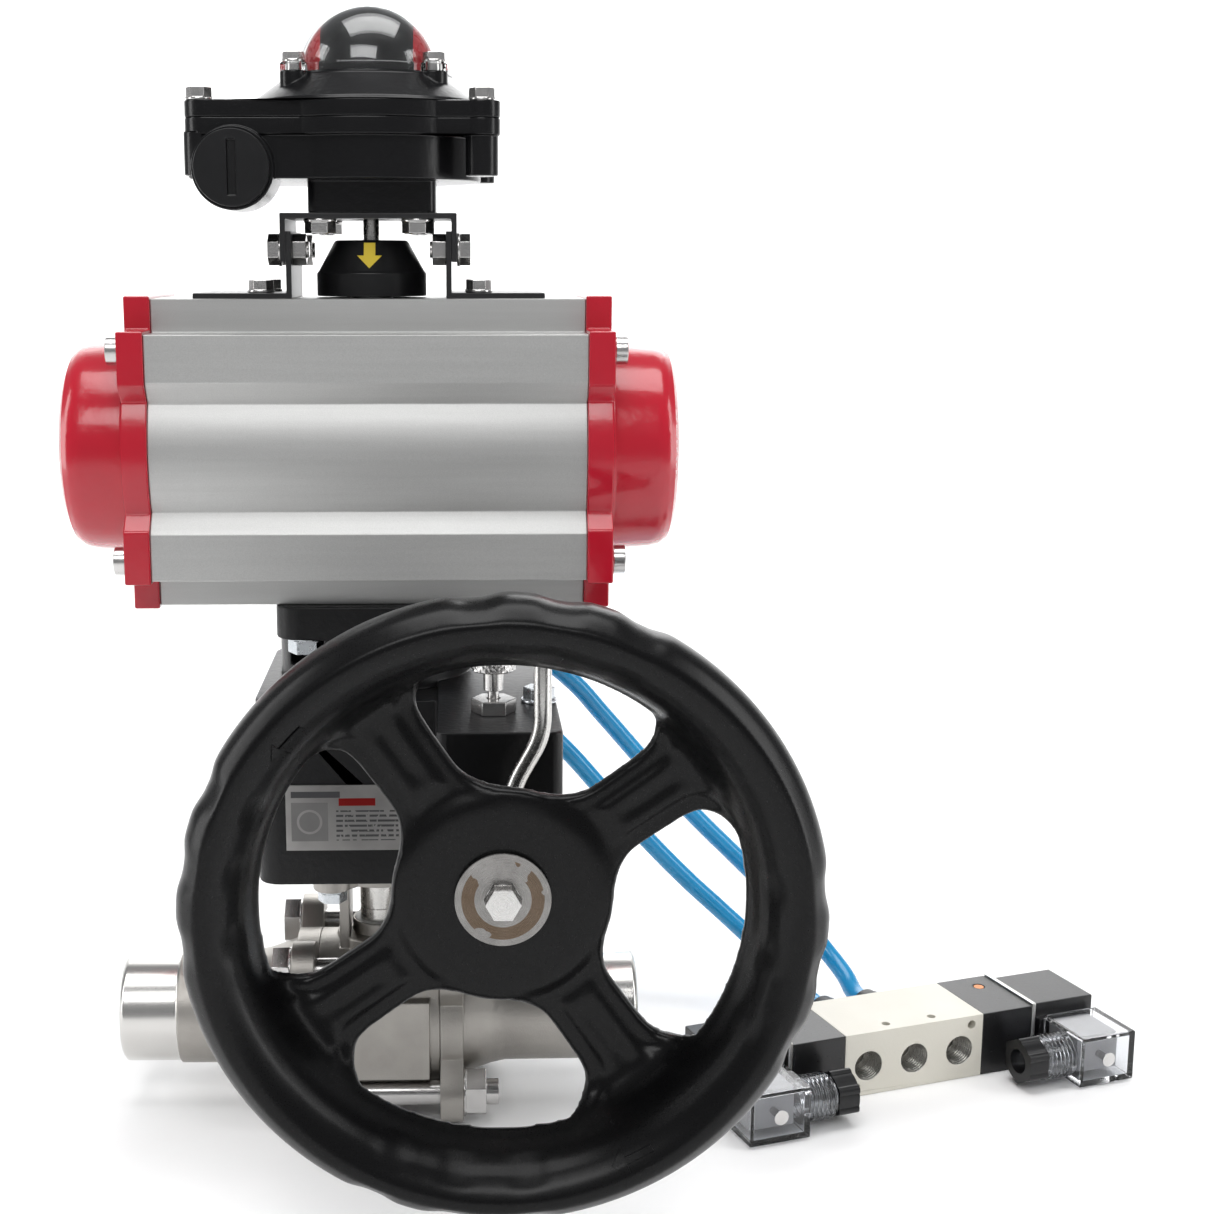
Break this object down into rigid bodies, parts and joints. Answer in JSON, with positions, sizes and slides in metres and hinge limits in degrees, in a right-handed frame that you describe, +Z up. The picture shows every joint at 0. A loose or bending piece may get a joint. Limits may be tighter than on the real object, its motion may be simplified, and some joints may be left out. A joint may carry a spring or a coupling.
{
  "type": "pneumatic actuated valve",
  "caption": "Quarter-turn stainless ball valve with worm-gear handwheel override, rack-and-pinion air actuator, position switch box and a tubed solenoid air valve.",
  "frame": {"origin": "centre of the ball, where the pipe axis meets the stem axis", "axes": "+X along the pipe towards the air valve, +Y away from the handwheel, +Z up the stem"},
  "size_m": [0.4232, 0.2851, 0.427],
  "materials": {
    "stainless_casting": "fine bead-blasted casting",
    "stainless_machined": "turned, bright",
    "stainless_fastener": "bright, plain",
    "zinc_fastener": "bright zinc plate",
    "ptfe": "smooth, waxy",
    "black_cast": "black satin powder coat on casting",
    "black_wheel": "black satin paint on pressed steel",
    "bronze": "hobbed bronze",
    "bush_bronze": "sintered bronze",
    "gear_steel": "ground steel",
    "anodised": "satin silver anodised extrusion",
    "red_cover": "glossy crimson powder coat",
    "black_rubber": "smooth",
    "piston_alloy": "machined alloy",
    "black_plastic": "satin moulded",
    "bracket_steel": "black satin coat on folded steel",
    "box_shell": "semi-gloss black coat",
    "clear_dome": "clear moulded plastic",
    "flag_red": "smooth moulded",
    "label_foil": "silver foil with dark print",
    "ivory_block": "ivory coat on alloy block",
    "coil_black": "moulded",
    "clear_plastic": "clear moulded plastic",
    "grey_insert": "moulded insert",
    "button_orange": "moulded",
    "tube_blue": "smooth extruded polyurethane",
    "switch_black": "moulded"
  },
  "bodies": {
    "housing": {"valve_body": "stainless_casting", "left_pipe_end": "stainless_casting", "right_pipe_end": "stainless_casting", "seat_rings": "ptfe", "valve_bolts": "stainless_fastener", "stem_packing": "ptfe", "gearbox_housing": "black_cast", "gearbox_cover": "black_cast", "gearbox_screws": "zinc_fastener", "shaft_bushes": "bush_bronze", "plunger_nut": "stainless_fastener", "nameplate": "label_foil", "actuator_body": "anodised", "left_end_cover": "red_cover", "right_end_cover": "red_cover", "end_cover_screws": "stainless_fastener", "cover_seals": "black_rubber", "pinion_bushes": "ptfe", "left_foot_bracket": "bracket_steel", "right_foot_bracket": "bracket_steel", "top_bracket": "bracket_steel", "bracket_screws": "stainless_fastener", "box_screws": "stainless_fastener", "switch_box_base": "box_shell", "switch_box_lid": "box_shell", "lid_screws": "stainless_fastener", "blanking_plug": "black_plastic", "microswitches": "switch_black", "indicator_dome": "clear_dome", "port_block": "ivory_block", "pilot_bodies": "coil_black", "solenoid_coils": "coil_black", "connector_housings": "clear_plastic", "connector_cores": "grey_insert", "gland_nuts": "black_plastic", "connector_screws": "stainless_fastener", "push_fittings": "black_plastic", "actuator_elbows": "black_plastic", "air_tube_a": "tube_blue", "air_tube_b": "tube_blue"},
    "drive": {"ball": "stainless_machined", "valve_stem": "stainless_machined", "worm_wheel": "bronze", "pinion": "gear_steel", "position_indicator": "black_plastic", "switch_shaft": "stainless_machined", "indicator_rotor": "black_plastic", "rotor_flags": "flag_red"},
    "left_piston_body": {"left_piston": "piston_alloy"},
    "right_piston_body": {"right_piston": "piston_alloy"},
    "clutch": {"clutch_lever": "stainless_machined"},
    "wheel": {"handwheel": "black_wheel", "worm_shaft": "gear_steel", "wheel_bolt": "stainless_fastener"},
    "plunger": {"lock_plunger": "stainless_fastener"},
    "spool_body": {"spool": "gear_steel"},
    "left_button": {"left_override_button": "button_orange"},
    "right_button": {"right_override_button": "button_orange"}
  },
  "joints": [
    {"name": "drive_turn", "type": "hinge", "parent": "housing", "child": "drive", "pos_m": [0, 0, 0], "axis": [0, 0, -1], "range_deg": [0, 90]},
    {"name": "left_piston_slide", "type": "slide", "parent": "housing", "child": "left_piston_body", "axis": [1, 0, 0], "range_m": [0, 0.01886]},
    {"name": "right_piston_slide", "type": "slide", "parent": "housing", "child": "right_piston_body", "axis": [-1, 0, 0], "range_m": [0, 0.01886]},
    {"name": "clutch_turn", "type": "hinge", "parent": "housing", "child": "clutch", "pos_m": [0.0495, 0, 0.104], "axis": [0, 1, 0], "range_deg": [0, 90]},
    {"name": "handwheel_turn", "type": "hinge", "parent": "clutch", "child": "wheel", "pos_m": [0.045, 0, 0.104], "axis": [0, 1, 0], "range_deg": [0, 3240]},
    {"name": "plunger_pull", "type": "slide", "parent": "housing", "child": "plunger", "axis": [0, 0, 1], "range_m": [0, 0.006], "stiffness_N_per_m": 400, "springref_m": -0.004},
    {"name": "spool_shift", "type": "slide", "parent": "housing", "child": "spool_body", "axis": [0.9494, 0.314, 0], "range_m": [-0.003, 0.003]},
    {"name": "left_button_press", "type": "slide", "parent": "housing", "child": "left_button", "axis": [0, 0, -1], "range_m": [0, 0.0025], "stiffness_N_per_m": 300, "springref_m": -0.002},
    {"name": "right_button_press", "type": "slide", "parent": "housing", "child": "right_button", "axis": [0, 0, -1], "range_m": [0, 0.0025], "stiffness_N_per_m": 300, "springref_m": -0.002}
  ],
  "couplings": [
    {"joint": "left_piston_slide", "follows": "drive_turn", "m_per_rad": 0.012},
    {"joint": "right_piston_slide", "follows": "drive_turn", "m_per_rad": 0.012},
    {"joint": "handwheel_turn", "follows": "drive_turn", "ratio": 36}
  ]
}
